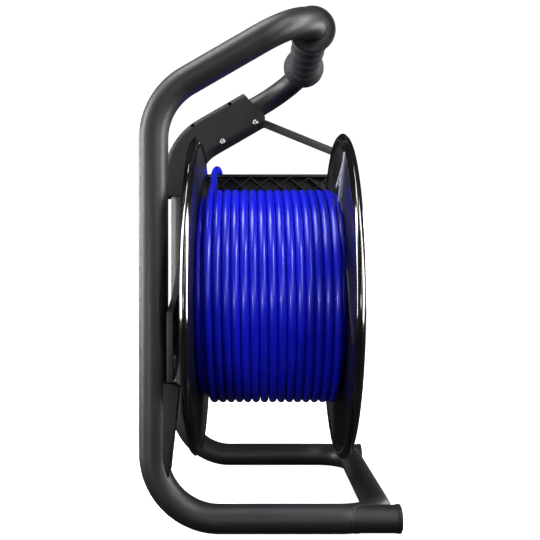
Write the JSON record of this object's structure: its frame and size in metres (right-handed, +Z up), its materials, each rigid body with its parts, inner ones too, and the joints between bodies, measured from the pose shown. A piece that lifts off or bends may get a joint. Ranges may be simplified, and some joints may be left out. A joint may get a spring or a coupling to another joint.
{
  "type": "network cable reel",
  "caption": "Open tubular-frame reel with a cantilevered drum of blue network cable, rubber carrying grip, elbow clamp and rear cable guide rail.",
  "frame": {"origin": "centre of the object's footprint on the floor, under the middle of its bounding box", "axes": "+X along the drum's axis from the legs to the front flange, +Y along the hand grip, +Z up"},
  "size_m": [0.221, 0.31, 0.453],
  "materials": {
    "frame_paint": "fine-textured charcoal powder coat",
    "clamp_plastic": "fine-grained charcoal moulding",
    "grip_rubber": "matt black rubber",
    "drum_plastic": "polished black moulding",
    "black_plastic": "satin black moulding",
    "bush_plastic": "natural acetal",
    "zinc_steel": "bright zinc plate",
    "jack_shell": "tinned shield",
    "cable_jacket": "semi-gloss blue jacket",
    "clear_plug": "clear moulded plastic"
  },
  "bodies": {
    "root": {"base_tube": "frame_paint", "leg_tube_near": "frame_paint", "leg_tube_far": "frame_paint", "handle_hoop": "frame_paint", "frame_spigots": "zinc_steel", "foot_stub_near": "frame_paint", "foot_stub_far": "frame_paint", "foot_caps": "clamp_plastic", "hand_grip": "grip_rubber", "carrier_plate": "frame_paint", "hub_boss": "frame_paint", "leg_brace_near": "clamp_plastic", "leg_brace_far": "clamp_plastic", "carrier_screws": "zinc_steel", "rivet_nuts": "zinc_steel", "axle": "zinc_steel", "axle_washer": "zinc_steel", "lock_nut": "zinc_steel", "clamp_shell_inner": "clamp_plastic", "clamp_shell_outer": "clamp_plastic", "clamp_screws": "zinc_steel", "clamp_nuts": "zinc_steel", "guide_rail": "black_plastic", "guide_stay": "frame_paint", "rail_screws": "zinc_steel", "cable_tail": "cable_jacket", "plug_boot": "cable_jacket", "plug_body": "clear_plug", "plug_latch": "clear_plug"},
    "drum": {"flange_back": "drum_plastic", "flange_front": "drum_plastic", "drum_core": "drum_plastic", "hub_sleeve": "zinc_steel", "bush_back": "bush_plastic", "bush_front": "bush_plastic", "tie_bolts": "zinc_steel", "tie_nuts": "zinc_steel", "hub_cap": "drum_plastic", "socket_panel": "black_plastic", "panel_screws": "zinc_steel", "rj45_coupler": "jack_shell", "entry_grommet": "grip_rubber", "hinge_pin": "zinc_steel", "knob_bolt": "zinc_steel", "cable_winding": "cable_jacket"},
    "knob": {"winding_knob": "black_plastic"},
    "cap": {"dust_cap": "black_plastic"}
  },
  "joints": [
    {"name": "drum_spin", "type": "hinge", "parent": "root", "child": "drum", "pos_m": [0, 0, 0.1926], "axis": [1, 0, 0], "continuous": true},
    {"name": "knob_spin", "type": "hinge", "parent": "drum", "child": "knob", "pos_m": [0.09, 0.095, 0.1926], "axis": [1, 0, 0], "continuous": true},
    {"name": "dust_cap_hinge", "type": "hinge", "parent": "drum", "child": "cap", "pos_m": [0.0792, 0, 0.2601], "axis": [0, -1, 0], "range_deg": [0, 110]}
  ]
}
